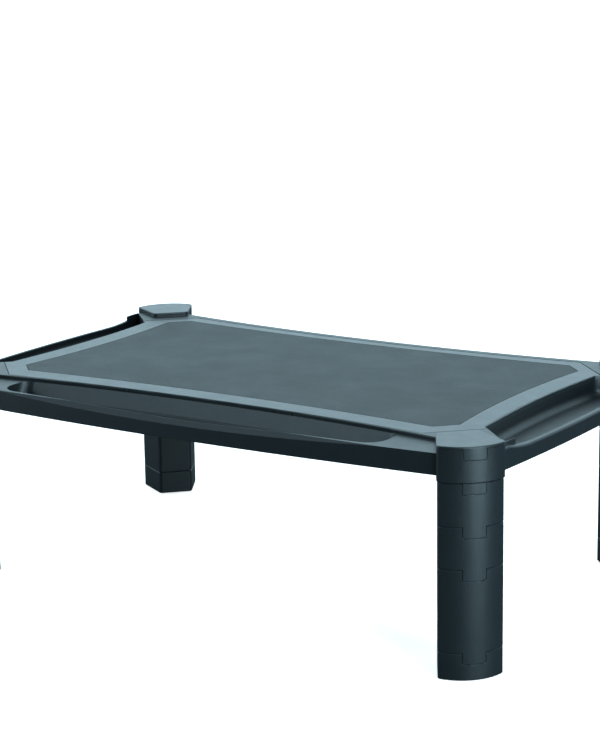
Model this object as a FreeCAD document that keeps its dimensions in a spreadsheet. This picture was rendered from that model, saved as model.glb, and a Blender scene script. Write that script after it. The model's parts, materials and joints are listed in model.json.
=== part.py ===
"""Desktop laptop riser: a moulded deck on four legs, each leg a stack of plug-in sections.

All lengths are millimetres. The origin is on the desk under the middle of the riser,
+X to the user's right, +Y away from the user and +Z up.
"""
import FreeCAD
import Part
import math
import os
import Sketcher
from types import SimpleNamespace

Vector = FreeCAD.Vector

SIZES = {
    # plan of the riser: leg places from its middle, and how far each edge stands from them
    "leg_offset_x": 232.0,
    "leg_offset_y": 144.0,
    "side_overhang": 19.3,
    "side_bow": 4.9,
    "front_overhang": 23.2,
    "front_bow": 9.4,
    "front_hollow": 15.0,
    "back_setback": 22.0,
    "back_hollow": 15.0,
    "corner_tuck": 14.1,
    "back_tuck": 28.1,
    # one leg's section, across and along the leg's outward direction
    "leg_width": 46.9,
    "leg_bulge": 9.3,
    "leg_depth": 33.5,
    "leg_inner_width": 28.5,
    "leg_round": 3.0,
    "leg_wall": 2.4,
    "spigot_wall": 2.0,
    "spigot_height": 15.0,
    "fit_gap": 0.3,
    "web": 2.4,
    # heights of the stacked pieces
    "foot_height": 20.0,
    "long_height": 59.0,
    "middle_height": 30.0,
    "upper_height": 30.5,
    "collar_height": 23.8,
    "collar_lip": 0.8,
    "cap_thickness": 1.7,
    "cap_round": 1.0,
    "cap_plug": 6.0,
    "tab_width": 16.4,
    "tab_height": 7.6,
    "tab_round": 1.2,
    "seam_break": 0.5,
    # rubber pad under each foot
    "pad_thickness": 1.8,
    "pad_proud": 0.8,
    "pad_inset": 3.2,
    # deck and frame levels
    "deck_level": 161.5,
    "ledge_level": 158.8,
    "rail_level": 154.8,
    "skirt_level": 143.4,
    "floor_thickness": 2.6,
    "skin": 2.6,
    "skirt_wall": 2.8,
    "tray_wall": 2.4,
    # deck plate, set in from the legs
    "plate_thickness": 3.0,
    "plate_front_inset": 27.5,
    "plate_back_inset": 29.5,
    "plate_side_inset": 23.4,
    "plate_side_hollow": 4.6,
    "plate_corner": 46.7,
    "plate_corner_half": 21.7,
    "seat_width": 7.0,
    "seam_gap": 0.35,
    "rib_height": 9.0,
    "rib_wall": 1.8,
    "rib_pitch_x": 62.0,
    "rib_pitch_y": 48.0,
    # mat, set in from the plate's edges
    "mat_side_inset": 19.6,
    "mat_side_hollow": 6.0,
    "mat_front_inset": 19.5,
    "mat_back_inset": 11.5,
    "mat_hollow": 9.0,
    "mat_corner": 14.0,
    "mat_thickness": 1.2,
    "mat_gap": 0.4,
    # trays
    "pocket_end_inset": 65.0,
    "pocket_hollow": 9.9,
    "pocket_bow": 5.5,
    "pocket_round": 16.0,
    "pocket_back_rise": 12.5,
    "pocket_back_lean": 6.0,
    "pocket_back_round": 9.0,
    "pocket_foot_round": 2.5,
    "rim_wall": 4.0,
    "rim_drop": 4.8,
    "rim_slope": 5.6,
    "trough_end_inset": 55.3,
    "trough_bow": 3.9,
    "trough_skew": 26.5,
    "trough_round": 8.0,
    "rail_wall": 4.2,
    "rail_round": 1.8,
    "rail_flat_inset": 8.0,
    "rail_curve": 160.0,
    "tray_round": 5.5,
    "edge_round": 0.9,
    # screws
    "screw_radius": 1.5,
    "screw_head": 3.0,
    "screw_head_height": 2.0,
    "screw_length": 10.0,
    "pilot_spare": 0.5,
    "boss_radius": 3.6,
    "boss_clear": 2.0,
    "lug_root": 3.0,
    "screw_spread": 90.0,
    "thread_gap": 0.05,
}

CLEAR = 10.0  # how far a cutting tool runs past the piece that it cuts
TOUCH = 1e-4  # lengths closer than this are taken as equal


class Size:
    """A length that knows both its value and the sheet expression that gives it."""

    def __init__(self, value, text=None):
        self.value = value
        self.text = repr(value) if text is None else text

    def combine(self, other, sign, value):
        other = as_size(other)
        return Size(value(self.value, other.value), f"({self.text} {sign} {other.text})")

    def __add__(self, other):
        return self.combine(other, "+", lambda a, b: a + b)

    def __sub__(self, other):
        return self.combine(other, "-", lambda a, b: a - b)

    def __mul__(self, other):
        return self.combine(other, "*", lambda a, b: a * b)

    def __truediv__(self, other):
        return self.combine(other, "/", lambda a, b: a / b)

    def __neg__(self):
        return Size(-self.value, f"(0 - {self.text})")

    def __radd__(self, other):
        return as_size(other) + self

    def __rsub__(self, other):
        return as_size(other) - self


def as_size(number):
    return number if isinstance(number, Size) else Size(float(number))


def root(size):
    return Size(math.sqrt(size.value), f"sqrt({size.text})")


doc = FreeCAD.newDocument("riser")
sheet = doc.addObject("Spreadsheet::Sheet", "Sizes")
for row, (alias, number) in enumerate(SIZES.items(), 1):
    sheet.set(f"A{row}", alias.replace("_", " "))
    sheet.set(f"B{row}", str(number))
    sheet.setAlias(f"B{row}", alias)
doc.recompute()
size = SimpleNamespace(**{alias: Size(number, "Sizes." + alias) for alias, number in SIZES.items()})


# Small builders: each makes one document object whose sizes follow the sheet.

def bind(target, name, length):
    target.setExpression(name, as_size(length).text)


def outline(name, corners, bulges):
    """Closed sketch through the corners; a side with a bulge point is an arc through that point."""
    sketch = doc.addObject("Sketcher::SketchObject", name)
    places = [Vector(as_size(x).value, as_size(y).value, 0) for x, y in corners]
    count = len(places)
    ends = []
    for side in range(count):
        first = places[side]
        last = places[(side + 1) % count]
        if bulges[side] is None:
            sketch.addGeometry(Part.LineSegment(first, last))
            ends.append((1, 2))
            continue
        middle = Vector(as_size(bulges[side][0]).value, as_size(bulges[side][1]).value, 0)
        anticlockwise = (middle - first).cross(last - middle).z > 0
        sketch.addGeometry(Part.Arc(first, middle, last) if anticlockwise else Part.Arc(last, middle, first))
        ends.append((1, 2) if anticlockwise else (2, 1))
    for side in range(count):
        following = (side + 1) % count
        sketch.addConstraint(
            Sketcher.Constraint("Coincident", side, ends[side][1], following, ends[following][0]))
    for side, (x, y) in enumerate(corners):
        pin_point(sketch, side, ends[side][0], x, y)
    for side, bulge in enumerate(bulges):
        if bulge is not None:
            middle = Vector(as_size(bulge[0]).value, as_size(bulge[1]).value, 0)
            mark = sketch.addGeometry(Part.Point(middle), True)
            pin_point(sketch, mark, 1, *bulge)
            sketch.addConstraint(Sketcher.Constraint("PointOnObject", mark, 1, side))
    return sketch


def pin_point(sketch, element, end, x, y):
    """Hold one sketch point at x, y; a zero puts it on the axis."""
    for kind, axis, length in (("DistanceX", -2, as_size(x)), ("DistanceY", -1, as_size(y))):
        if length.value == 0:
            sketch.addConstraint(Sketcher.Constraint("PointOnObject", element, end, axis))
        else:
            index = sketch.addConstraint(Sketcher.Constraint(kind, element, end, length.value))
            sketch.setExpression(f"Constraints[{index}]", length.text)


def offset(name, profile, amount):
    ring = doc.addObject("Part::Offset2D", name)
    ring.Source = profile
    ring.Join = "Arc"
    bind(ring, "Value", amount)
    return ring


def prism(name, profile, bottom, top):
    solid = doc.addObject("Part::Extrusion", name)
    solid.Base = profile
    solid.DirMode = "Custom"
    solid.Dir = Vector(0, 0, 1)
    solid.Solid = True
    bind(solid, "LengthFwd", top - bottom)
    bind(solid, "Placement.Base.z", bottom)
    return solid


def block(name, low, high):
    """Box between two corners."""
    box = doc.addObject("Part::Box", name)
    for side, start, stop, axis in zip(("Length", "Width", "Height"), low, high, "xyz"):
        bind(box, side, stop - as_size(start))
        bind(box, f"Placement.Base.{axis}", start)
    return box


def rod(name, radius, height, x, y, z):
    cylinder = doc.addObject("Part::Cylinder", name)
    bind(cylinder, "Radius", radius)
    bind(cylinder, "Height", height)
    for axis, length in zip("xyz", (x, y, z)):
        bind(cylinder, f"Placement.Base.{axis}", length)
    return cylinder


def join(name, pieces):
    whole = doc.addObject("Part::MultiFuse", name)
    whole.Shapes = pieces
    whole.Refine = True
    return whole


def cut(name, base, tool):
    rest = doc.addObject("Part::Cut", name)
    rest.Base = base
    rest.Tool = tool
    rest.Refine = True
    return rest


def common(name, base, tool):
    shared = doc.addObject("Part::Common", name)
    shared.Base = base
    shared.Tool = tool
    return shared


def soften(name, base, kind, radius, wanted, other=None):
    """Fillet or chamfer every edge of the base that the wanted test picks.

    A chamfer may have another length on the edge's second face.
    """
    doc.recompute()
    edges = [number for number, edge in enumerate(base.Shape.Edges, 1) if wanted(edge)]
    if not edges:
        raise RuntimeError(f"{name}: no edge found")
    softened = doc.addObject(kind, name)
    softened.Base = base
    softened.Edges = [(number, radius, radius if other is None else other) for number in edges]
    return softened


# Where things stand, worked out from the sheet.

side_reach = size.leg_offset_x + size.side_overhang
front_reach = size.leg_offset_y + size.front_overhang
back_reach = size.leg_offset_y - size.back_setback
plate_front = size.leg_offset_y - size.plate_front_inset
plate_back = size.leg_offset_y - size.plate_back_inset
plate_side = size.leg_offset_x - size.plate_side_inset
pocket_half = size.leg_offset_x - size.pocket_end_inset
trough_half = size.leg_offset_y - size.trough_end_inset

collar_bottom = size.foot_height + size.long_height + size.middle_height + size.upper_height
collar_top = collar_bottom + size.collar_height
top_level = collar_top + size.cap_thickness
foot_top = size.foot_height
long_top = foot_top + size.long_height
middle_top = long_top + size.middle_height
seat_level = size.deck_level - size.plate_thickness
tray_floor = size.skirt_level + size.floor_thickness
lug_level = seat_level - size.rib_height
under_all = as_size(-CLEAR)
above_all = top_level + CLEAR
diagonal = root(as_size(0.5))

bulge_radius = (size.leg_width * size.leg_width / 4 + size.leg_bulge * size.leg_bulge) / (size.leg_bulge * 2)
arc_set_back = (bulge_radius - size.leg_bulge) * diagonal
back_extent = size.leg_offset_y - arc_set_back + bulge_radius + size.collar_lip
centre_shift = (front_reach - back_extent) / 2

CORNERS = {
    "front_right": (1, -1),
    "front_left": (-1, -1),
    "back_right": (1, 1),
    "back_left": (-1, 1),
}


def stand_at(piece, corner, with_shift=True):
    """Turn a piece drawn with its outward side at +Y to its corner of the riser."""
    right, back = CORNERS[corner]
    turn = math.degrees(math.atan2(back, right)) - 90
    piece.Placement = FreeCAD.Placement(Vector(0, 0, 0), FreeCAD.Rotation(Vector(0, 0, 1), turn))
    bind(piece, "Placement.Base.x", size.leg_offset_x * right)
    shift = centre_shift if with_shift else 0
    bind(piece, "Placement.Base.y", size.leg_offset_y * back + shift)


def beside_leg(across, outward, right, back):
    """Plan point given across and along the outward direction of the leg at that corner."""
    x = size.leg_offset_x + (outward + across) * diagonal
    y = size.leg_offset_y + (outward - across) * diagonal
    return x * right, y * back


# Leg section and its offsets, shared by the whole stack.

half_width = size.leg_width / 2
half_inner = size.leg_inner_width / 2
section = outline(
    "leg_section",
    [(half_width, 0), (-half_width, 0), (-half_inner, -size.leg_depth), (half_inner, -size.leg_depth)],
    [(0, size.leg_bulge), None, None, None])
core = offset("leg_core", section, -size.leg_round)
leg_outer = offset("leg_outer", core, size.leg_round)
leg_inner = offset("leg_inner", core, size.leg_round - size.leg_wall)
spigot_outer = offset("spigot_outer", core, size.leg_round - size.leg_wall - size.fit_gap)
spigot_inner = offset("spigot_inner", core, size.leg_round - size.leg_wall - size.fit_gap - size.spigot_wall)
collar_outer = offset("collar_outer", core, size.leg_round + size.collar_lip)
pad_outer = offset("pad_outer", core, size.leg_round - size.pad_inset)

shell_ring = cut(
    "shell_ring",
    prism("shell_ring_outer", leg_outer, as_size(0), top_level),
    prism("shell_ring_inner", leg_inner, as_size(0), top_level))
lip_ring = cut(
    "lip_ring",
    prism("lip_ring_outer", collar_outer, as_size(0), top_level),
    prism("lip_ring_inner", leg_inner, as_size(0), top_level))
notch_ring = cut(
    "notch_ring",
    prism("notch_ring_outer", offset("notch_reach", core, size.leg_round + size.collar_lip + size.fit_gap),
          under_all, above_all),
    prism("notch_ring_inner", spigot_outer, under_all, above_all))


def tab_window(name, level, gap, top):
    """Upright slot on the leg's outward side, with round lower corners, that shapes a tab or its notch."""
    half = size.tab_width / 2 + gap
    bottom = level - size.tab_height - gap
    window = block(name, (-half, 0, bottom), (half, size.leg_bulge * 3, top))
    return soften(name + "_round", window, "Part::Fillet", (size.tab_round + gap).value,
                  lambda edge: at_height(edge, bottom) and edge.BoundBox.XLength < TOUCH)


def tab_below(name, level, ring=shell_ring):
    """Tab of the outer wall that hangs below a level, on the outward side."""
    return common(name, ring, tab_window(name + "_window", level, as_size(0), level + size.seam_break * 2))


def notch_under(name, level):
    """Room for the tab of the piece above, with the fit gap round it."""
    return common(name, notch_ring, tab_window(name + "_window", level, size.fit_gap, above_all))


def at_height(edge, level):
    box = edge.BoundBox
    return abs(box.ZMin - level.value) < TOUCH and abs(box.ZMax - level.value) < TOUCH


def upright_edge(edge):
    box = edge.BoundBox
    return box.XLength < TOUCH and box.YLength < TOUCH


def outer_edge(edge, level):
    """Edge of the leg's outside at a level: one whose middle is clear of the inner wall."""
    if not at_height(edge, level):
        return False
    middle = edge.valueAt((edge.FirstParameter + edge.LastParameter) / 2)
    inside = Part.Face(Part.Wire(leg_inner.Shape.Edges))
    return not inside.isInside(Vector(middle.x, middle.y, 0), TOUCH, True)


def seam_broken(name, base, levels):
    return soften(name, base, "Part::Chamfer", size.seam_break.value,
                  lambda edge: any(outer_edge(edge, level) for level in levels))


# Stacked leg sections: a shell with a spigot on top, a notch for the tab above and its own tab below.

def leg_section(name, bottom, top, hangs_tab):
    web_level = top - size.web
    spigot_top = top + size.spigot_height
    body = join(name + "_body", [
        prism(name + "_wall", leg_outer, bottom, top),
        prism(name + "_spigot", spigot_outer, web_level, spigot_top)])
    notched = cut(name + "_notched", body, notch_under(name + "_notch", top))
    hollow = cut(name + "_hollow", notched, prism(name + "_room", leg_inner, bottom, web_level))
    bored = cut(name + "_bored", hollow, prism(name + "_bore", spigot_inner, bottom, spigot_top))
    broken = seam_broken(name + "_edges", bored, [bottom, top])
    if not hangs_tab:
        return broken
    return join(name + "_tabbed", [broken, tab_below(name + "_tab", bottom)])


def make_foot():
    bottom = size.pad_proud
    floor = size.pad_thickness + size.floor_thickness
    spigot_top = foot_top + size.spigot_height
    body = join("foot_body", [
        prism("foot_wall", leg_outer, bottom, foot_top),
        prism("foot_spigot", spigot_outer, foot_top - size.web, spigot_top)])
    notched = cut("foot_notched", body, notch_under("foot_notch", foot_top))
    hollow = cut("foot_hollow", notched, prism("foot_room", leg_inner, floor, foot_top - size.web))
    bored = cut("foot_bored", hollow, prism("foot_bore", spigot_inner, floor, spigot_top))
    recessed = cut("foot_recessed", bored, prism("foot_recess", pad_outer, as_size(0), size.pad_thickness))
    return seam_broken("foot_edges", recessed, [bottom, foot_top])


def make_cap():
    plug_bottom = collar_top - size.cap_plug
    plate = prism("cap_plate", collar_outer, collar_top, top_level)
    plug = cut(
        "cap_plug",
        prism("cap_plug_outer", spigot_outer, plug_bottom, collar_top + size.cap_thickness / 2),
        prism("cap_plug_inner", spigot_inner, plug_bottom, collar_top))
    body = join("cap_body", [plate, plug])
    rounded = soften("cap_rounded", body, "Part::Fillet", size.cap_round.value,
                     lambda edge: at_height(edge, top_level))
    return join("cap_tabbed", [rounded, tab_below("cap_tab", collar_top, lip_ring)])


def make_pad():
    pad = prism("pad_slab", offset("pad_plan", core, size.leg_round - size.pad_inset - size.fit_gap),
                as_size(0), size.pad_thickness)
    return soften("pad_soft", pad, "Part::Fillet", size.pad_proud.value / 2,
                  lambda edge: at_height(edge, as_size(0)))


# The frame: low rim with trays, higher ground round the deck plate, and a collar at each corner.

def mirror_plan(points):
    """Close a right-hand half outline, front to back, with its mirror on the left."""
    return points + [(-x, y) for x, y in reversed(points)]


rim_corner_x = size.leg_offset_x - size.corner_tuck
rim_corner_y = front_reach - size.front_bow
side_corner_x = side_reach - size.side_bow
side_corner_y = size.leg_offset_y - size.corner_tuck
back_corner_x = size.leg_offset_x - size.back_tuck
back_corner_y = back_reach + size.back_hollow
rim_plan = outline(
    "rim_plan",
    mirror_plan([(rim_corner_x, -rim_corner_y), (side_corner_x, -side_corner_y),
                 (side_corner_x, side_corner_y), (back_corner_x, back_corner_y)]),
    [None, (side_reach, 0), None, (0, back_reach), None, (-side_reach, 0), None, (0, -front_reach)])

high_plan = outline(
    "high_plan",
    mirror_plan([(back_corner_x, -(plate_front + size.front_hollow)),
                 beside_leg(size.trough_skew, -size.leg_bulge, 1, -1),
                 beside_leg(size.trough_skew, -size.leg_bulge, 1, 1), (back_corner_x, back_corner_y)]),
    [None, None, None, (0, back_reach), None, None, None, (0, -plate_front)])

trough_inner_x = plate_side + size.plate_side_hollow
trough_outer_x = side_reach - size.rail_wall
trough_end_x = trough_outer_x - size.trough_bow


def trough_plan(name, side):
    """Tray beside the deck: one side follows the plate, the other the rail; its ends are at 45 degrees."""
    end_y = trough_half + (trough_end_x - trough_inner_x)
    return outline(
        name,
        [(trough_inner_x * side, -trough_half), (trough_end_x * side, -end_y),
         (trough_end_x * side, end_y), (trough_inner_x * side, trough_half)],
        [None, (trough_outer_x * side, 0), None, (plate_side * side, 0)])


pocket_back_y = plate_front + size.pocket_hollow
pocket_front_y = front_reach - size.rim_wall
pocket_plan = outline(
    "pocket_plan",
    [(pocket_half, -pocket_back_y), (-pocket_half, -pocket_back_y),
     (-pocket_half, size.pocket_bow - pocket_front_y), (pocket_half, size.pocket_bow - pocket_front_y)],
    [(0, -plate_front), None, (0, -pocket_front_y), None])


def plate_outline(name):
    """Deck plate: hollow edges between corners that are cut square to the legs."""
    def corner(lead, back):
        return beside_leg(lead, -size.plate_corner, 1, back)

    return outline(
        name,
        mirror_plan([corner(-size.plate_corner_half, -1), corner(size.trough_skew, -1),
                     (trough_inner_x, -trough_half), (trough_inner_x, trough_half),
                     corner(size.trough_skew, 1), corner(-size.plate_corner_half, 1)]),
        [None, None, (plate_side, 0), None, None, (0, plate_back),
         None, None, (-plate_side, 0), None, None, (0, -plate_front)])


plate_plan = plate_outline("plate_plan")
plate_room_plan = offset("plate_room_plan", plate_plan, size.seam_gap)
window_plan = offset("window_plan", plate_plan, -size.seat_width)


def at_corners(name, maker):
    """The same tool or solid at each of the four corners of the frame."""
    copies = []
    for corner in CORNERS:
        copy = maker(f"{name}_{corner}")
        stand_at(copy, corner, with_shift=False)
        copies.append(copy)
    return copies


def make_collar(name):
    column = prism(name + "_column", collar_outer, collar_bottom, collar_top)
    eased = soften(name + "_top", column, "Part::Chamfer", size.seam_break.value,
                   lambda edge: at_height(edge, collar_top))
    return soften(name, eased, "Part::Chamfer", size.collar_lip.value,
                  lambda edge: at_height(edge, collar_bottom))


def rail_dip(name, side):
    """Room above one side rail: flat along the middle, curving up towards the collars."""
    low, high = sorted((plate_side * side, (side_reach + CLEAR) * side), key=lambda reach: reach.value)
    flat = trough_half - size.rail_flat_inset
    pieces = [block(name + "_flat", (low, -flat, size.rail_level), (high, flat, above_all))]
    for end, side_name in ((-1, "front"), (1, "back")):
        curve = rod(f"{name}_{side_name}", size.rail_curve, high - low,
                    low, flat * end, size.rail_level + size.rail_curve)
        curve.Placement = FreeCAD.Placement(Vector(0, 0, 0), FreeCAD.Rotation(Vector(0, 1, 0), 90))
        pieces.append(curve)
    return join(name, pieces)


def rim_slope():
    """Room above the front rim's sloping top, which is deepest at the middle of the bowed front."""
    back_y = size.rim_slope - front_reach
    wedge = doc.addObject("Part::Wedge", "rim_slope")
    fall = size.rim_drop / size.rim_slope
    front_y = -(front_reach + CLEAR)
    bind(wedge, "Ymin", front_y)
    bind(wedge, "Ymax", back_y)
    bind(wedge, "Zmin", size.ledge_level - fall * (size.rim_slope + CLEAR))
    bind(wedge, "Z2min", size.ledge_level)
    for edge in ("Zmax", "Z2max"):
        bind(wedge, edge, above_all)
    for edge in ("Xmin", "X2min"):
        bind(wedge, edge, -side_reach)
    for edge in ("Xmax", "X2max"):
        bind(wedge, edge, side_reach)
    return wedge


def rail_edge(edge):
    """Outer top edge of a side rail."""
    middle = edge.valueAt((edge.FirstParameter + edge.LastParameter) / 2)
    return abs(middle.x) > side_corner_x.value + TOUCH and middle.z > size.rail_level.value - TOUCH \
        and not upright_edge(edge)


def pocket_back_foot(edge):
    return at_height(edge, tray_floor) and edge.BoundBox.YMax > -pocket_back_y.value + TOUCH


def pocket_back_corner(edge):
    """A back corner of the front tray, upright or leaning."""
    box = edge.BoundBox
    return box.ZLength > CLEAR and box.XLength < TOUCH and abs(box.YMax + pocket_back_y.value) < TOUCH


def pocket_front_corner(edge):
    return upright_edge(edge) and edge.BoundBox.YMin < size.pocket_bow.value - pocket_front_y.value + TOUCH


def make_pocket():
    """Front tray: its back wall leans away, and its corners and its foot are round."""
    hollow = prism("pocket_hollow", pocket_plan, tray_floor, above_all)
    leaning = soften("pocket_back", hollow, "Part::Chamfer", size.pocket_back_rise.value,
                     pocket_back_foot, size.pocket_back_lean.value)
    back = soften("pocket_back_round", leaning, "Part::Fillet", size.pocket_back_round.value,
                  pocket_back_corner)
    front = soften("pocket_front_round", back, "Part::Fillet", size.pocket_round.value,
                   pocket_front_corner)
    return soften("pocket_tray", front, "Part::Fillet", size.pocket_foot_round.value,
                  lambda edge: at_height(edge, tray_floor))


def make_trough(name, side):
    hollow = prism(name + "_hollow", trough_plan(name + "_plan", side), tray_floor, above_all)
    inner_x = trough_inner_x.value + TOUCH
    rounded = soften(name + "_round", hollow, "Part::Fillet", size.trough_round.value,
                     lambda edge: upright_edge(edge) and abs(edge.BoundBox.XMin) < inner_x)
    return soften(name + "_tray", rounded, "Part::Fillet", size.tray_round.value,
                  lambda edge: at_height(edge, tray_floor))


def screw_spots():
    """Middles of the screws, just inside the window: x, y and the plan direction of the nearest seat."""
    inset = size.seat_width + size.boss_radius + size.boss_clear
    half = size.screw_spread / 2
    spots = []
    for way in (-1, 1):
        spots.append((size.screw_spread * way, inset - plate_front, (0, -1)))
        spots.append((size.screw_spread * way, plate_back - inset, (0, 1)))
        for along in (-half, half):
            spots.append(((plate_side - inset) * way, along, (way, 0)))
    return spots


def make_lug(name, x, y, way):
    """Plate under one boss, rooted in the seat, with a hole for the screw."""
    half = size.boss_radius + size.boss_clear
    reach = size.seat_width + size.lug_root
    low = [place - (reach if toward < 0 else half) for place, toward in zip((x, y), way)]
    high = [place + (reach if toward > 0 else half) for place, toward in zip((x, y), way)]
    plate = block(name + "_plate", (*low, lug_level - size.skin), (*high, lug_level))
    hole = rod(name + "_hole", size.screw_radius + size.fit_gap, size.skin + CLEAR,
               x, y, lug_level - size.skin - CLEAR / 2)
    return cut(name, plate, hole)


def make_frame():
    roof = size.ledge_level - size.skin
    rim = prism("rim", rim_plan, size.skirt_level, size.ledge_level)
    room_above = join("room_above", [rail_dip("right_dip", 1), rail_dip("left_dip", -1), rim_slope()])
    dipped = cut("rim_dipped", rim, room_above)
    low = soften("low_rim", dipped, "Part::Fillet", size.rail_round.value, rail_edge)
    high = soften("high_ground", prism("high_block", high_plan, size.skirt_level, size.deck_level),
                  "Part::Fillet", size.edge_round.value, lambda edge: at_height(edge, size.deck_level))
    mass = join("frame_mass", [low, high] + at_corners("collar", make_collar))

    troughs = [make_trough("right_trough", 1), make_trough("left_trough", -1)]
    wall_plans = [pocket_plan, window_plan]
    wall_plans += [doc.getObject(f"{side}_trough_plan") for side in ("right", "left")]
    kept = [prism(f"kept_{number}", offset(f"wall_plan_{number}", plan, size.tray_wall), under_all, above_all)
            for number, plan in enumerate(wall_plans)]
    kept += at_corners("collar_kept", lambda name: prism(name, collar_outer, under_all, above_all))
    hollow = cut(
        "underside",
        prism("underside_block", offset("underside_plan", rim_plan, -size.skirt_wall), under_all, roof),
        join("underside_kept", kept))

    rooms = at_corners("collar_room", lambda name: prism(name, leg_inner, under_all, above_all))
    notches = at_corners("collar_notch", lambda name: notch_under(name, collar_top))
    window = prism("window", window_plan, under_all, above_all)
    rebate = prism("rebate", plate_room_plan, seat_level, above_all)
    tools = join("frame_tools", [make_pocket(), hollow, window, rebate] + troughs + rooms + notches)
    body = cut("frame_body", mass, tools)
    lugs = [make_lug(f"lug_{number}", *spot) for number, spot in enumerate(screw_spots())]
    tabs = at_corners("collar_tab", lambda name: tab_below(name, collar_bottom))
    return join("frame_whole", [body] + lugs + tabs)


# The deck plate with its ribs and bosses, the mat let into it, and the screws.

mat_side = plate_side - size.mat_side_inset
mat_side_x = mat_side + size.mat_side_hollow
mat_front = plate_front - size.mat_front_inset
mat_front_y = mat_front + size.mat_hollow
mat_back = plate_back - size.mat_back_inset
mat_back_y = mat_back + size.mat_hollow
mat_plan = outline(
    "mat_plan",
    mirror_plan([(mat_side_x - size.mat_corner, -mat_front_y), (mat_side_x, size.mat_corner - mat_front_y),
                 (mat_side_x, mat_back_y - size.mat_corner), (mat_side_x - size.mat_corner, mat_back_y)]),
    [None, (mat_side, 0), None, (0, mat_back), None, (-mat_side, 0), None, (0, -mat_front)])


def make_ribs():
    """Grid of ribs under the plate, kept inside the frame's window."""
    bottom = seat_level - size.rib_height
    half = size.rib_wall / 2
    ribs = []
    columns = int(plate_side.value // size.rib_pitch_x.value)
    for number in range(-columns, columns + 1):
        middle = size.rib_pitch_x * number
        ribs.append(block(f"rib_along_{number + columns}", (middle - half, -front_reach, bottom),
                          (middle + half, front_reach, seat_level)))
    rows = int(plate_front.value // size.rib_pitch_y.value)
    for number in range(-rows, rows + 1):
        middle = size.rib_pitch_y * number
        ribs.append(block(f"rib_across_{number + rows}", (-side_reach, middle - half, bottom),
                          (side_reach, middle + half, seat_level)))
    inside = prism("rib_limit", offset("rib_limit_plan", window_plan, -size.seam_gap), under_all, above_all)
    return common("rib_grid", join("ribs", ribs), inside)


def make_plate():
    slab = prism("plate_slab", plate_plan, seat_level, size.deck_level)
    eased = soften("plate_eased", slab, "Part::Fillet", size.edge_round.value,
                   lambda edge: at_height(edge, size.deck_level))
    recess = prism("mat_recess", offset("mat_recess_plan", mat_plan, size.mat_gap),
                   size.deck_level - size.mat_thickness, above_all)
    panel = cut("plate_panel", eased, recess)
    bosses = []
    pilots = []
    for number, (x, y, way) in enumerate(screw_spots()):
        bosses.append(rod(f"boss_{number}", size.boss_radius, size.rib_height, x, y, lug_level))
        pilots.append(rod(f"pilot_{number}", size.screw_radius + size.thread_gap,
                          size.screw_length - size.skin + size.pilot_spare, x, y, lug_level))
    body = join("plate_body", [panel, make_ribs()] + bosses)
    return cut("plate_whole", body, join("pilots", pilots))


def make_screws():
    under = lug_level - size.skin
    screws = []
    for number, (x, y, way) in enumerate(screw_spots()):
        shank = rod(f"screw_{number}_shank", size.screw_radius, size.screw_length, x, y, under)
        head = rod(f"screw_{number}_head", size.screw_head, size.screw_head_height, x, y,
                   under - size.screw_head_height)
        screws.append(join(f"screw_{number}", [shank, head]))
    group = doc.addObject("Part::Compound", "screw_group")
    group.Links = screws
    return group


nodes = []


def placed_copy(source, label):
    """A sub-part of its own that shares the drawn piece's shape."""
    copy = doc.addObject("Part::Refine", label)
    copy.Source = source
    copy.Label = label
    nodes.append(copy)
    return copy


platform = {
    "base_frame": make_frame(),
    "deck_plate": make_plate(),
    "deck_screws": make_screws(),
    "non_slip_mat": prism("mat_slab", mat_plan, size.deck_level - size.mat_thickness, size.deck_level),
}
for label, source in platform.items():
    bind(placed_copy(source, label), "Placement.Base.y", centre_shift)

stack = {
    "corner_cap": make_cap(),
    "upper_leg": leg_section("upper", middle_top, collar_bottom, True),
    "middle_leg": leg_section("middle", long_top, middle_top, True),
    "long_leg": leg_section("long", foot_top, long_top, True),
    "foot": make_foot(),
    "foot_pad": make_pad(),
}
for label, source in stack.items():
    for corner in CORNERS:
        stand_at(placed_copy(source, f"{label}_{corner}"), corner)

doc.recompute()
for item in doc.Objects:
    if "Invalid" in item.State or "Error" in item.State:
        raise RuntimeError(f"{item.Name} failed: {item.State}")
for piece in nodes:
    if piece.Shape.isNull() or not piece.Shape.isValid():
        raise RuntimeError(f"{piece.Label} has no valid shape")

os.makedirs("parts", exist_ok=True)
for piece in nodes:
    piece.Shape.exportStep(f"parts/{piece.Label}.step")
    print(piece.Label, len(piece.Shape.Solids), round(piece.Shape.Volume), piece.Shape.BoundBox)
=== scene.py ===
"""Finished look of the plastic desk riser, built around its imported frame."""
import json
import math

import bmesh
import bpy
from bpy.props import FloatProperty, FloatVectorProperty, PointerProperty
from mathutils import Matrix, Vector

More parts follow.
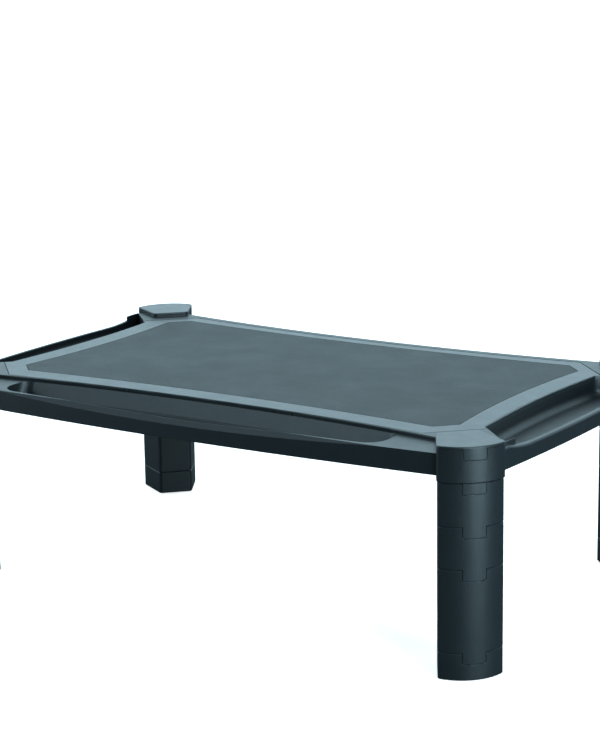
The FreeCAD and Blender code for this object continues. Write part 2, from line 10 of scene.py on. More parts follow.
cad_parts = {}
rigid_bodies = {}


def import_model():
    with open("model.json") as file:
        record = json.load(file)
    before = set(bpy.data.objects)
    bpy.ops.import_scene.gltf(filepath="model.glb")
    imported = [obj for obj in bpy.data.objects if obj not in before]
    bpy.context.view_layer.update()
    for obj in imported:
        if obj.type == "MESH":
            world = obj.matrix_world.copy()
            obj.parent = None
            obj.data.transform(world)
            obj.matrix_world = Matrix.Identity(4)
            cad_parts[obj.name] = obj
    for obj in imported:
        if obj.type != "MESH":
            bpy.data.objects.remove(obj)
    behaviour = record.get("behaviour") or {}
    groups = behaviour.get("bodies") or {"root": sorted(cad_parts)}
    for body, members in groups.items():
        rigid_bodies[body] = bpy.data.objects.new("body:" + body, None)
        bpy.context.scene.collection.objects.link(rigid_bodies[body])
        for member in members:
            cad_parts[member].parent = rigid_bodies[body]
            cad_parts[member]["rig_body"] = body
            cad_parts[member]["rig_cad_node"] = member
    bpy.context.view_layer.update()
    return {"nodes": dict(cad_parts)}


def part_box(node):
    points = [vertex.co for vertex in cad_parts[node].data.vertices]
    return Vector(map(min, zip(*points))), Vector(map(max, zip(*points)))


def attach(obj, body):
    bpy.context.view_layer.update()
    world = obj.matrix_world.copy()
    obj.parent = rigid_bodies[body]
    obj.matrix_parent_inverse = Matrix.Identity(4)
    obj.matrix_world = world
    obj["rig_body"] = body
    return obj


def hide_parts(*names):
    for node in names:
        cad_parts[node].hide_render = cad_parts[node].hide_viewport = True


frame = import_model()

bl_info = {
    "name": "Desk Riser",
    "version": (1, 0, 0),
    "blender": (4, 5, 0),
    "location": "View3D > Sidebar > Riser",
    "description": "Finishes, mat, pads and screws of a moulded desk riser on stacked legs",
    "category": "Object",
}

CORNERS = ("front_right", "front_left", "back_right", "back_left")
LEG_PIECES = ("upper_leg", "middle_leg", "long_leg", "foot")

# Tolerances: lengths in metres, angles, and how far a normal points up
NEAR = 1e-5
WELD = 1e-6
SMOOTH_BELOW = math.radians(32)
FLAT_BELOW = math.radians(0.5)
FACES_UP = 0.9
FOLD = 0.5

# Shaping: how finely shapes are stepped, and how near the points of one screw lie
MAT_CUTS = 31
MAT_EDGE_STEPS = 3
SCREW_REACH = 0.008
SCREW_SIDES = 32
SCREW_TURNS = 7
CROWN_STEPS = 5
CROWN_FULLNESS = 0.6
POINT_TAPER = 0.4

# Gloss, as roughness, and how strongly a surface mirrors
FRAME_GLOSS = 0.42
DECK_GLOSS = 0.36
LEG_GLOSS = 0.40
PLASTIC_IOR = 1.5
SMOOTH_SHINE = 0.4
MAT_SHINE = 0.25
RUBBER_SHINE = 0.3

# Where most of a noise's values lie, and the wear and painted highlight at edges: where they begin, the
# painted highlight's share and tone, and the wear's polish
NOISE_SPAN = (0.3, 0.7)
EDGE_SAMPLES = 4
WEAR_AND_HIGHLIGHT_BELOW = 0.80
EDGE_HIGHLIGHT_SHARE = 0.5
EDGE_HIGHLIGHT_TONE = 3
WORN_POLISH = 0.10

# Sizes of the patterns in the finishes, in metres
MOTTLE_SIZE = 0.045
DUST_SIZE = 0.012
MAT_PATCH_SIZE = 0.06
MAT_SHEEN_SIZE = 0.03
BLOOM_SIZE = 0.006
RUBBER_PIT_SIZE = 0.0004
SPANGLE_SIZE = 0.0009
ZINC_HAZE_SIZE = 0.0005
TURNING_SIZE = 0.0002
PAPER_PATCH_SIZE = 0.3
PAPER_FIBRE_SIZE = 0.002

# Stage
FLOOR_SIDE = 60
PAPER_TONES = (0.92, 0.95)
PAPER_ROUGHNESS = 0.9
PAPER_GLOW = 0.75
PAPER_MIRRORED = (0.10, 0.11, 0.12, 1)
STUDIO_TINT = (0.62, 0.88, 1.0)
SKY_WALL = (-0.5, 0.86, 0.0)
SKY_RAMP = {"From Min": -0.1, "From Max": 0.9, "To Min": 0.07, "To Max": 2.1}
LAMP_AIM = (0, 0, 0.1)
SENSOR_WIDTH = 36
# Name, place, width, height and watts
LAMPS = (
    ("overhead", (0.0, 0.3, 2.6), 3.0, 3.0, 36),
    ("seam_light", (1.35, -0.8, 1.3), 0.5, 0.5, 18),
    ("right_panel", (1.25, -0.53, 0.27), 0.55, 0.54, 21),
    ("left_panel", (-1.6, -0.85, 0.35), 0.70, 0.70, 8),
    ("tray_panel", (-1.37, -1.27, 0.95), 0.70, 0.70, 11),
)


class RiserFinishes(bpy.types.PropertyGroup):
    """Colours, edges and grain of the pieces."""

    frame_colour: FloatVectorProperty(
        name="Frame colour", description="Colour of the frame moulding", subtype="COLOR", size=3,
        min=0, max=1, default=(0.0045, 0.0066, 0.0078))
    deck_colour: FloatVectorProperty(
        name="Deck colour", description="Colour of the deck plate and caps", subtype="COLOR", size=3,
        min=0, max=1, default=(0.0070, 0.0100, 0.0115))
    leg_colour: FloatVectorProperty(
        name="Leg colour", description="Colour of the leg sections", subtype="COLOR", size=3,
        min=0, max=1, default=(0.0055, 0.0080, 0.0092))
    mat_colour: FloatVectorProperty(
        name="Mat colour", description="Colour of the non-slip mat", subtype="COLOR", size=3,
        min=0, max=1, default=(0.0065, 0.0090, 0.0102))
    rubber_colour: FloatVectorProperty(
        name="Pad colour", description="Colour of the rubber pads", subtype="COLOR", size=3,
        min=0, max=1, default=(0.0080, 0.0080, 0.0085))
    zinc_colour: FloatVectorProperty(
        name="Screw colour", description="Colour of the zinc plated screws", subtype="COLOR", size=3,
        min=0, max=1, default=(0.55, 0.55, 0.57))
    edge_radius: FloatProperty(
        name="Edge radius", description="Softness of the moulded edges", unit="LENGTH", default=0.0004)
    grain_size: FloatProperty(
        name="Grain size", description="Spacing of the spark-eroded grain", unit="LENGTH", default=0.00055)
    pebble_size: FloatProperty(
        name="Pebble size", description="Spacing of the mat's pebbles", unit="LENGTH", default=0.0011)


class RiserDetails(bpy.types.PropertyGroup):
    """Sizes of the pieces that are modelled here."""

    mat_corner: FloatProperty(
        name="Mat corner", description="How far the mat's corners are cut back", unit="LENGTH",
        default=0.014)
    mat_side_hollow: FloatProperty(
        name="Mat side hollow", description="How far the mat's sides curve in", unit="LENGTH",
        default=0.006)
    mat_long_hollow: FloatProperty(
        name="Mat front and back hollow", description="How far the mat's long edges curve in", unit="LENGTH",
        default=0.009)
    mat_lip: FloatProperty(
        name="Mat lip", description="Width of the smooth lip round the mat", unit="LENGTH", default=0.0016)
    mat_edge: FloatProperty(
        name="Mat edge", description="Round of the mat's top edge", unit="LENGTH", default=0.00045)
    pad_rib: FloatProperty(
        name="Pad rib", description="Width of a rib under a pad, twice a groove's", unit="LENGTH",
        default=0.0022)
    pad_groove: FloatProperty(
        name="Pad groove", description="Depth of the grooves under a pad", unit="LENGTH", default=0.0005)
    recess_width: FloatProperty(
        name="Recess width", description="Width of a screw's cross recess", unit="LENGTH", default=0.0034)
    recess_slot: FloatProperty(
        name="Recess slot", description="Width of one slot of the cross", unit="LENGTH", default=0.0008)
    recess_depth: FloatProperty(
        name="Recess depth", description="Depth of the cross recess", unit="LENGTH", default=0.0012)
    head_height: FloatProperty(
        name="Head height", description="Height of a screw's head", unit="LENGTH", default=0.002)
    head_crown: FloatProperty(
        name="Head crown", description="Round of the head's rim", unit="LENGTH", default=0.0011)
    shank_radius: FloatProperty(
        name="Shank radius", description="Outer radius of the thread", unit="LENGTH", default=0.0015)
    thread_depth: FloatProperty(
        name="Thread depth", description="How far the thread stands out of its core", unit="LENGTH",
        default=0.0003)
    screw_point: FloatProperty(
        name="Screw point", description="Length of the tapered point", unit="LENGTH", default=0.0012)


class RiserStage(bpy.types.PropertyGroup):
    """Camera, floor and lights."""

    lens: FloatProperty(name="Lens", description="Focal length", unit="CAMERA", default=104.14)
    camera_place: FloatVectorProperty(
        name="Camera place", description="Where the camera stands", unit="LENGTH", size=3,
        default=(0.87486, -1.34193, 0.52673))
    camera_yaw: FloatProperty(
        name="Yaw", description="Turn of the view about the upright", unit="ROTATION",
        default=math.radians(32.927))
    camera_pitch: FloatProperty(
        name="Pitch", description="How far the view points down", unit="ROTATION",
        default=math.radians(12.716))
    camera_roll: FloatProperty(
        name="Roll", description="Tilt of the view", unit="ROTATION", default=math.radians(-0.894))
    light: FloatProperty(name="Light", description="Strength of all the lamps", default=1.0)


def nodes_of(piece):
    """The CAD nodes of one kind of piece, one for each corner."""
    return [frame["nodes"][f"{piece}_{corner}"] for corner in CORNERS]


def shade(colour, factor=1.0):
    """The colour made darker or lighter, with its alpha."""
    return (*[part * factor for part in colour], 1)


class Recipe:
    """One procedural material, wired node by node."""

    def __init__(self, name):
        self.material = bpy.data.materials.new(name)
        self.material.use_nodes = True
        self.tree = self.material.node_tree
        self.shader = self.tree.nodes["Principled BSDF"]
        self.place = self.add("ShaderNodeTexCoord").outputs["Object"]

    def add(self, kind, inputs=(), **settings):
        node = self.tree.nodes.new(kind)
        for key, value in settings.items():
            setattr(node, key, value)
        for key, value in dict(inputs).items():
            self.set(node.inputs[key], value)
        return node

    def set(self, socket, value):
        """Link a socket into another, or give it a plain value."""
        if isinstance(value, bpy.types.NodeSocket):
            self.tree.links.new(value, socket)
        else:
            socket.default_value = value

    def noise(self, size, detail=2.0, roughness=0.5, stretch=(1, 1, 1)):
        """Noise whose features are about that size, in metres."""
        place = self.place
        if stretch != (1, 1, 1):
            place = self.add("ShaderNodeMapping", {"Vector": place, "Scale": stretch}).outputs["Vector"]
        return self.add("ShaderNodeTexNoise", {
            "Vector": place, "Scale": 1 / size, "Detail": detail, "Roughness": roughness}).outputs["Fac"]

    def cells(self, size):
        """Distance to the middle of the nearest cell."""
        return self.add("ShaderNodeTexVoronoi", {"Vector": self.place, "Scale": 1 / size},
                        feature="F1").outputs["Distance"]

    def spread(self, value, low, high, start=0.0, stop=1.0):
        """Map a value from start..stop to low..high."""
        return self.add("ShaderNodeMapRange", {
            "Value": value, "From Min": start, "From Max": stop, "To Min": low, "To Max": high}).outputs[0]

    def vary(self, noise, low, high):
        """Map a noise, whose values crowd round its middle, to low..high."""
        return self.spread(noise, low, high, *NOISE_SPAN)

    def maths(self, operation, first, second):
        return self.add("ShaderNodeMath", {0: first, 1: second}, operation=operation).outputs[0]

    def blend(self, amount, first, second):
        """Mix two colours."""
        mix = self.add("ShaderNodeMix", data_type="RGBA")
        self.set(mix.inputs["Factor"], amount)
        for key, colour in (("A", first), ("B", second)):
            socket = [s for s in mix.inputs if s.name == key and s.type == "RGBA"][0]
            self.set(socket, colour)
        return [s for s in mix.outputs if s.type == "RGBA"][0]

    def mixed(self, amount, first, second):
        """Mix two shaders."""
        return self.add("ShaderNodeMixShader", {0: amount, 1: first, 2: second}).outputs[0]

    def edge(self, radius):
        """Normal rounded at the edges, and a mask there for wear and painted highlight: 0 on a flat, rising
        at an edge.
        """
        soft = self.add("ShaderNodeBevel", {"Radius": radius}, samples=EDGE_SAMPLES).outputs["Normal"]
        hard = self.add("ShaderNodeNewGeometry").outputs["Normal"]
        same = self.add("ShaderNodeVectorMath", {0: soft, 1: hard}, operation="DOT_PRODUCT")
        return soft, self.spread(same.outputs["Value"], 1.0, 0.0, WEAR_AND_HIGHLIGHT_BELOW, 1.0)

    def relief(self, height, strength, depth, normal=None):
        """Normal with a fine relief, laid over another normal if one is given."""
        inputs = {"Height": height, "Strength": strength, "Distance": depth}
        if normal is not None:
            inputs["Normal"] = normal
        return self.add("ShaderNodeBump", inputs).outputs["Normal"]

    def finish(self, colour, roughness, normal, **fixed):
        self.set(self.shader.inputs["Base Color"], colour)
        self.set(self.shader.inputs["Roughness"], roughness)
        self.set(self.shader.inputs["Normal"], normal)
        for key, value in fixed.items():
            self.shader.inputs[key.replace("_", " ")].default_value = value
        return self.material


def moulded_plastic(name, colour, gloss, grain, edge_radius):
    """Spark-textured ABS: fine grain, faint flow mottling, and edges polished by handling and lightened by a
    painted highlight.
    """
    recipe = Recipe(name)
    soft, wear_and_highlight = recipe.edge(edge_radius)
    mottle = recipe.noise(MOTTLE_SIZE, 3)
    speckle = recipe.noise(grain * 2.5, 2)
    dust = recipe.noise(DUST_SIZE, 6, 0.65)
    tone = recipe.blend(recipe.vary(mottle, 0, 1), shade(colour, 0.90), shade(colour, 1.12))
    tone = recipe.blend(recipe.spread(speckle, 0, 0.35, 0.45, 0.75), tone, shade(colour, 1.6))
    # Painted highlight: edges lightened in colour to stand in for catch light
    tone = recipe.blend(recipe.maths("MULTIPLY", wear_and_highlight, EDGE_HIGHLIGHT_SHARE), tone, shade(colour, EDGE_HIGHLIGHT_TONE))
    rough = recipe.vary(dust, gloss - 0.02, gloss + 0.03)
    rough = recipe.maths("SUBTRACT", rough, recipe.maths("MULTIPLY", wear_and_highlight, WORN_POLISH))
    pits = recipe.noise(grain, 3, 0.6)
    normal = recipe.relief(pits, 0.35, grain * 0.35, soft)
    return recipe.finish(tone, rough, normal, IOR=PLASTIC_IOR, Specular_IOR_Level=SMOOTH_SHINE)


def coat(objects, material):
    """Give the objects one material in place of what they have."""
    for thing in objects:
        thing.data.materials.clear()
        thing.data.materials.append(material)


def start():
    """Leave edit mode, deselect everything and centre the cursor, ready for the next piece."""
    if bpy.context.mode != "OBJECT":
        bpy.ops.object.mode_set(mode="OBJECT")
    bpy.ops.object.select_all(action="DESELECT")
    bpy.context.scene.cursor.location = (0, 0, 0)


def edit(piece):
    """Open the piece's mesh with its vertices to pick from and all of them selected."""
    bpy.context.view_layer.objects.active = piece
    bpy.ops.object.mode_set(mode="EDIT")
    bpy.ops.mesh.select_mode(type="VERT")
    bpy.ops.mesh.select_all(action="SELECT")


def pick(piece, kind, wanted):
    """Select in edit mode only the vertices, edges or faces that pass the test."""
    bpy.ops.mesh.select_mode(type=kind)
    bpy.ops.mesh.select_all(action="DESELECT")
    mesh = bmesh.from_edit_mesh(piece.data)
    found = 0
    for item in {"VERT": mesh.verts, "EDGE": mesh.edges, "FACE": mesh.faces}[kind]:
        if wanted(item):
            item.select_set(True)
            found += 1
    mesh.select_flush_mode()
    bmesh.update_edit_mesh(piece.data)
    if not found:
        raise RuntimeError(f"{piece.name}: nothing to select")


def middle(item):
    """Middle of an edge or a face."""
    return sum((vertex.co for vertex in item.verts), Vector()) / len(item.verts)


def folds(edge):
    """Whether a level face and an upright one meet at the edge."""
    faces = edge.link_faces
    return len(faces) == 2 and abs(faces[0].normal.z - faces[1].normal.z) > FOLD


def swell(factor, centre):
    """Widen or narrow what is selected, in plan."""
    bpy.ops.transform.resize(value=(factor, factor, 1), center_override=centre)


def extrude(rise):
    """Extrude what is selected upwards, or downwards by a negative rise."""
    bpy.ops.mesh.extrude_region_move(TRANSFORM_OT_translate={"value": (0, 0, rise)})


def settle(piece, name, body, slot, material, *nodes):
    """Finish a piece: its origin, smoothing, name, material, body and the nodes it stands for; the slot
    argument is not used.
    """
    start()
    piece.select_set(True)
    bpy.context.view_layer.objects.active = piece
    bpy.ops.object.transform_apply(location=True, rotation=True, scale=True)
    bpy.ops.object.shade_smooth_by_angle(angle=SMOOTH_BELOW)
    piece.name = name
    piece.data.name = name
    coat([piece], material)
    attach(piece, body)
    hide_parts(*nodes)


def apply_modifier(piece, kind, **settings):
    """Shape the piece by one modifier and apply it."""
    bpy.context.view_layer.objects.active = piece
    modifier = piece.modifiers.new(kind.lower(), kind)
    for key, value in settings.items():
        setattr(modifier, key, value)
    bpy.ops.object.modifier_apply(modifier=modifier.name)


def bar(place, size):
    """Straight bar of that size about its middle, to cut another piece with."""
    start()
    bpy.ops.mesh.primitive_cube_add(size=1, location=place)
    cutter = bpy.context.object
    cutter.scale = size
    bpy.ops.object.transform_apply(location=True, rotation=True, scale=True)
    return cutter


def cut(piece, cutter):
    """Cut the bar out of the piece and throw the bar away."""
    apply_modifier(piece, "BOOLEAN", object=cutter, operation="DIFFERENCE", solver="EXACT")
    bpy.data.objects.remove(cutter)


def pebbled_plastic(name, colour, pebble):
    """Non-slip inlay: close round pebbles, with painted shade in the hollows, a painted highlight on the
    crowns and a little dust.
    """
    recipe = Recipe(name)
    bumps = recipe.cells(pebble)
    crown = recipe.spread(bumps, 1, 0, 0.0, 0.75)
    patch = recipe.noise(MAT_PATCH_SIZE, 4, 0.6)
    # Painted shade in the hollows between pebbles and painted highlight on their crowns
    tone = recipe.blend(recipe.spread(crown, 0, 1, 0.2, 0.9), shade(colour, 0.55), shade(colour, 1.25))
    tone = recipe.blend(recipe.spread(patch, 0, 0.25, 0.4, 0.7), tone, shade(colour, 1.5))
    rough = recipe.vary(recipe.noise(MAT_SHEEN_SIZE, 2), 0.52, 0.57)
    fine = recipe.relief(recipe.noise(pebble / 4, 2), 0.25, pebble / 10)
    return recipe.finish(tone, rough, recipe.relief(crown, 0.8, pebble * 0.28, fine),
                         IOR=PLASTIC_IOR, Specular_IOR_Level=MAT_SHINE)


def soft_rubber(name, colour):
    """Moulded rubber: dull, faintly bloomed and finely pitted."""
    recipe = Recipe(name)
    bloom = recipe.noise(BLOOM_SIZE, 5, 0.6)
    tone = recipe.blend(recipe.spread(bloom, 0, 0.6, 0.35, 0.75), shade(colour), shade(colour, 2.6))
    rough = recipe.vary(bloom, 0.72, 0.86)
    return recipe.finish(tone, rough, recipe.relief(recipe.noise(RUBBER_PIT_SIZE, 3), 0.3, 0.0001),
                         IOR=PLASTIC_IOR, Specular_IOR_Level=RUBBER_SHINE)


def plated_zinc(name, colour):
    """Zinc plated steel: spangled brightness and fine turning marks."""
    recipe = Recipe(name)
    tone = recipe.blend(recipe.cells(SPANGLE_SIZE), shade(colour, 0.8), shade(colour))
    rough = recipe.vary(recipe.noise(ZINC_HAZE_SIZE, 4), 0.22, 0.42)
    marks = recipe.noise(TURNING_SIZE, 2, 0.5, (1, 1, 0.05))
    return recipe.finish(tone, rough, recipe.relief(marks, 0.15, 0.00003), Metallic=1.0)


def hollow_side(piece, place, shift, reach):
    """Curve one straight side in, deepest at its middle."""
    pick(piece, "VERT", lambda vertex: (vertex.co - place).length < NEAR)
    bpy.ops.transform.translate(value=shift, use_proportional_edit=True,
                                proportional_edit_falloff="INVERSE_SQUARE", proportional_size=reach)


class RISER_OT_mat(bpy.types.Operator):
    """Model the pebbled mat that lies in the deck"""

    bl_idname = "riser.mat"
    bl_label = "Add Mat"

    def execute(self, context):
        sizes, look = context.scene.riser_details, context.scene.riser_finishes
        low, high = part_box("non_slip_mat")
        centre, span = (low + high) / 2, high - low
        start()
        bpy.ops.mesh.primitive_plane_add(size=1, location=(centre.x, centre.y, high.z))
        mat = context.object
        mat.scale = (span.x, span.y, 1)
        bpy.ops.object.transform_apply(location=True, rotation=True, scale=True)
        edit(mat)
        bpy.ops.mesh.bevel(offset=sizes.mat_corner, segments=1, affect="VERTICES")
        pick(mat, "EDGE", lambda edge: edge.calc_length() > 2 * sizes.mat_corner)
        bpy.ops.mesh.subdivide(number_cuts=MAT_CUTS)
        half_x, half_y = span.x / 2, span.y / 2
        for toward in (-1, 1):
            hollow_side(mat, Vector((centre.x + half_x * toward, centre.y, high.z)),
                        (-sizes.mat_side_hollow * toward, 0, 0), half_y - sizes.mat_corner)
            hollow_side(mat, Vector((centre.x, centre.y + half_y * toward, high.z)),
                        (0, -sizes.mat_long_hollow * toward, 0), half_x - sizes.mat_corner)
        bpy.ops.mesh.select_all(action="SELECT")
        extrude(-span.z)
        bpy.ops.mesh.select_all(action="SELECT")
        bpy.ops.mesh.normals_make_consistent(inside=False)
        pick(mat, "FACE", lambda face: face.normal.z > FACES_UP)
        bpy.ops.mesh.inset(thickness=sizes.mat_lip)
        pick(mat, "EDGE", lambda edge: middle(edge).z > high.z - NEAR and folds(edge))
        bpy.ops.mesh.bevel(offset=sizes.mat_edge, segments=MAT_EDGE_STEPS, profile=0.5)
        settle(mat, "pebbled_mat", "platform", "mat_plastic",
               pebbled_plastic("mat_plastic", look.mat_colour, look.pebble_size), "non_slip_mat")
        return {"FINISHED"}


class RISER_OT_pads(bpy.types.Operator):
    """Model the ribbed rubber pads under the feet"""

    bl_idname = "riser.pads"
    bl_label = "Add Foot Pads"

    def execute(self, context):
        sizes, look = context.scene.riser_details, context.scene.riser_finishes
        rubber = soft_rubber("pad_rubber", look.rubber_colour)
        for corner in CORNERS:
            node = f"foot_pad_{corner}"
            low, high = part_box(node)
            pad = merged_copy(node)
            groove = sizes.pad_rib / 2
            pitch = sizes.pad_rib + groove
            grooves = bar((low.x + sizes.pad_rib, (low.y + high.y) / 2, low.z),
                          (groove, high.y - low.y + 2 * sizes.pad_rib, 2 * sizes.pad_groove))
            apply_modifier(grooves, "ARRAY", count=int((high.x - low.x) / pitch), use_relative_offset=False,
                           use_constant_offset=True, constant_offset_displace=(pitch, 0, 0))
            cut(pad, grooves)
            settle(pad, f"ribbed_pad_{corner}", f"foot_{corner}", "pad_rubber", rubber, node)
        return {"FINISHED"}


def merged_copy(node):
    """Copy of a frame node whose loose triangles are joined and whose flats are single faces."""
    start()
    original = frame["nodes"][node]
    copy = original.copy()
    copy.data = original.data.copy()
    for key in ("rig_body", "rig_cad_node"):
        if key in copy:
            del copy[key]
    copy.parent = None
    bpy.context.scene.collection.objects.link(copy)
    copy.select_set(True)
    edit(copy)
    bpy.ops.mesh.remove_doubles(threshold=WELD)
    bpy.ops.mesh.dissolve_limited(angle_limit=FLAT_BELOW)
    bpy.ops.object.mode_set(mode="OBJECT")
    return copy


def screw_places(node):
    """Middle in plan and head radius of each separate screw in one node."""
    groups = []
    for vertex in frame["nodes"][node].data.vertices:
        near = [group for group in groups if (group[0] - vertex.co.xy).length < SCREW_REACH]
        if near:
            near[0].append(vertex.co.xy)
        else:
            groups.append([vertex.co.xy])
    places = []
    for group in groups:
        low, high = (Vector((end(p.x for p in group), end(p.y for p in group))) for end in (min, max))
        places.append(((low + high) / 2, (high.x - low.x) / 2))
    return places


def model_screw(sizes, place, radius, bottom, top):
    """Pan head screw that points up: crowned head, ridged shank, short point and cross recess."""
    start()
    bpy.ops.mesh.primitive_cylinder_add(vertices=SCREW_SIDES, radius=radius, depth=sizes.head_height,
                                        location=(*place, bottom + sizes.head_height / 2))
    screw = bpy.context.object
    bpy.ops.object.transform_apply(location=True, rotation=True, scale=True)
    edit(screw)
    pick(screw, "EDGE", lambda edge: all(vertex.co.z < bottom + NEAR for vertex in edge.verts))
    bpy.ops.mesh.bevel(offset=sizes.head_crown, segments=CROWN_STEPS, profile=CROWN_FULLNESS)
    pick(screw, "FACE", lambda face: face.normal.z > FACES_UP)
    bpy.ops.mesh.inset(thickness=radius - sizes.shank_radius + sizes.thread_depth)
    core = 1 - sizes.thread_depth / sizes.shank_radius
    rise = (top - bottom - sizes.head_height - sizes.screw_point) / (2 * SCREW_TURNS)
    tip = (*place, top)
    for _ in range(SCREW_TURNS):
        for factor in (1 / core, core):
            extrude(rise)
            swell(factor, tip)
    extrude(sizes.screw_point)
    swell(POINT_TAPER, tip)
    bpy.ops.object.mode_set(mode="OBJECT")
    width, slot = sizes.recess_width, sizes.recess_slot
    for wide, tall in ((width, slot), (slot, width)):
        cut(screw, bar((*place, bottom), (wide, tall, 2 * sizes.recess_depth)))
    return screw


class RISER_OT_screws(bpy.types.Operator):
    """Model the pan head screws that hold the deck plate to the frame"""

    bl_idname = "riser.screws"
    bl_label = "Add Screws"

    def execute(self, context):
        sizes, look = context.scene.riser_details, context.scene.riser_finishes
        low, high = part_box("deck_screws")
        places = screw_places("deck_screws")
        first, radius = places[0]
        zinc = plated_zinc("screw_steel", look.zinc_colour)
        model = model_screw(sizes, first, radius, low.z, high.z)
        screws = [model]
        for place, _ in places[1:]:
            screw = model.copy()
            screw.data = model.data.copy()
            screw.location = (*(place - first), 0)
            bpy.context.scene.collection.objects.link(screw)
            screws.append(screw)
        for number, screw in enumerate(screws, 1):
            settle(screw, f"pan_head_screw_{number}", "platform", "screw_steel", zinc, "deck_screws")
        return {"FINISHED"}


class RISER_OT_mouldings(bpy.types.Operator):
    """Give the frame, deck, caps and leg sections their moulded plastic"""

    bl_idname = "riser.mouldings"
    bl_label = "Finish Mouldings"

    def execute(self, context):
        look = context.scene.riser_finishes
        grain, edge = look.grain_size, look.edge_radius
        coat([frame["nodes"]["base_frame"]],
             moulded_plastic("frame_plastic", look.frame_colour, FRAME_GLOSS, grain, edge))
        coat([frame["nodes"]["deck_plate"]] + nodes_of("corner_cap"),
             moulded_plastic("deck_plastic", look.deck_colour, DECK_GLOSS, grain, edge))
        leg = moulded_plastic("leg_plastic", look.leg_colour, LEG_GLOSS, grain, edge)
        for piece in LEG_PIECES:
            coat(nodes_of(piece), leg)
        return {"FINISHED"}


class RISER_OT_stage(bpy.types.Operator):
    """Set up the floor, the soft lights and the camera"""

    bl_idname = "riser.stage"
    bl_label = "Set Stage"

    def execute(self, context):
        stage = context.scene.riser_stage
        add_floor()
        add_sky()
        add_lights(stage.light)
        add_camera(stage)
        return {"FINISHED"}


def add_floor():
    """Pale paper that looks lit from behind, and that the riser mirrors only dimly."""
    start()
    bpy.ops.mesh.primitive_plane_add(size=FLOOR_SIDE)
    floor = bpy.context.object
    floor.name = "floor"
    recipe = Recipe("floor_paper")
    whites = [(tone, tone, tone, 1) for tone in PAPER_TONES]
    white = recipe.blend(recipe.noise(PAPER_PATCH_SIZE, 4), *whites)
    fibres = recipe.relief(recipe.noise(PAPER_FIBRE_SIZE), 0.05, 0.0002)
    coat([floor], recipe.finish(white, PAPER_ROUGHNESS, fibres))
    rays = recipe.add("ShaderNodeLightPath").outputs
    dim = recipe.add("ShaderNodeBsdfDiffuse", {"Color": PAPER_MIRRORED}).outputs[0]
    glow = recipe.add("ShaderNodeEmission", {"Color": (1, 1, 1, 1), "Strength": PAPER_GLOW}).outputs[0]
    lit = recipe.add("ShaderNodeAddShader", {0: recipe.shader.outputs[0], 1: glow}).outputs[0]
    output = recipe.tree.nodes["Material Output"]
    recipe.set(output.inputs["Surface"], recipe.mixed(rays["Is Camera Ray"], dim, lit))


def add_sky():
    """Dim studio in front, bright low wall behind and to the left."""
    world = bpy.data.worlds.new("studio")
    bpy.context.scene.world = world
    world.use_nodes = True
    tree = world.node_tree
    sky = tree.nodes["Background"]
    way = tree.nodes.new("ShaderNodeTexCoord").outputs["Generated"]
    along = tree.nodes.new("ShaderNodeVectorMath")
    along.operation = "DOT_PRODUCT"
    tree.links.new(way, along.inputs[0])
    along.inputs[1].default_value = SKY_WALL
    ramp = tree.nodes.new("ShaderNodeMapRange")
    ramp.interpolation_type = "SMOOTHSTEP"
    tree.links.new(along.outputs["Value"], ramp.inputs["Value"])
    for key, value in SKY_RAMP.items():
        ramp.inputs[key].default_value = value
    tree.links.new(ramp.outputs[0], sky.inputs["Strength"])
    sky.inputs["Color"].default_value = (*STUDIO_TINT, 1)


def add_lights(strength):
    """Soft overhead light, and smaller lamps that shape the seams, legs, skirt and trays."""
    for name, place, wide, tall, watts in LAMPS:
        lamp = bpy.data.lights.new(name, "AREA")
        lamp.shape = "RECTANGLE"
        lamp.size, lamp.size_y = wide, tall
        lamp.energy = watts * strength
        lamp.color = STUDIO_TINT
        holder = bpy.data.objects.new(name, lamp)
        holder.location = place
        holder.visible_camera = False
        aim = Vector(LAMP_AIM) - Vector(place)
        holder.rotation_euler = aim.to_track_quat("-Z", "Y").to_euler()
        bpy.context.scene.collection.objects.link(holder)
    bpy.context.scene.view_settings.view_transform = "Standard"


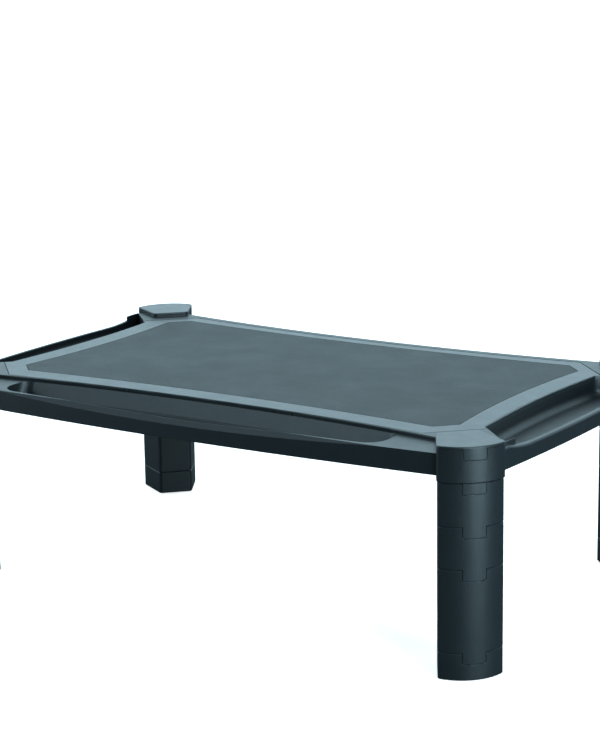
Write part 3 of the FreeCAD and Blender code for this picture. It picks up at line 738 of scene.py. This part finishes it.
def add_camera(stage):
    """Camera at its place, turned by yaw and pitch and then rolled."""
    yaw, pitch, roll = stage.camera_yaw, stage.camera_pitch, stage.camera_roll
    forward = Vector((-math.sin(yaw) * math.cos(pitch), math.cos(yaw) * math.cos(pitch), -math.sin(pitch)))
    level = Vector((math.cos(yaw), math.sin(yaw), 0))
    upright = level.cross(forward)
    right = level * math.cos(roll) + upright * math.sin(roll)
    up = upright * math.cos(roll) - level * math.sin(roll)
    camera = bpy.data.objects.new("camera", bpy.data.cameras.new("camera"))
    camera.data.lens = stage.lens
    camera.data.sensor_width = SENSOR_WIDTH
    place = Matrix((right, up, -forward)).transposed().to_4x4()
    place.translation = Vector(stage.camera_place)
    camera.matrix_world = place
    bpy.context.scene.collection.objects.link(camera)
    bpy.context.scene.camera = camera


class RISER_PT_sidebar(bpy.types.Panel):
    """Sizes, finishes and build steps of the riser"""

    bl_idname = "RISER_PT_sidebar"
    bl_label = "Desk Riser"
    bl_space_type = "VIEW_3D"
    bl_region_type = "UI"
    bl_category = "Riser"

    def draw(self, context):
        for group in (getattr(context.scene, name) for name in GROUPS):
            for name in group.bl_rna.properties.keys():
                if name not in ("name", "rna_type"):
                    self.layout.prop(group, name)
        for operator in OPERATORS:
            self.layout.operator(operator.bl_idname)


GROUPS = {"riser_finishes": RiserFinishes, "riser_details": RiserDetails, "riser_stage": RiserStage}
OPERATORS = (RISER_OT_mouldings, RISER_OT_mat, RISER_OT_pads, RISER_OT_screws, RISER_OT_stage)


def register():
    for kind in (*GROUPS.values(), *OPERATORS, RISER_PT_sidebar):
        bpy.utils.register_class(kind)
    for name, group in GROUPS.items():
        setattr(bpy.types.Scene, name, PointerProperty(type=group))


def unregister():
    for name in GROUPS:
        delattr(bpy.types.Scene, name)
    for kind in (RISER_PT_sidebar, *OPERATORS, *GROUPS.values()):
        bpy.utils.unregister_class(kind)


def main():
    register()
    bpy.ops.riser.mouldings()
    bpy.ops.riser.mat()
    bpy.ops.riser.pads()
    bpy.ops.riser.screws()
    bpy.ops.riser.stage()


if __name__ == "__main__":
    main()
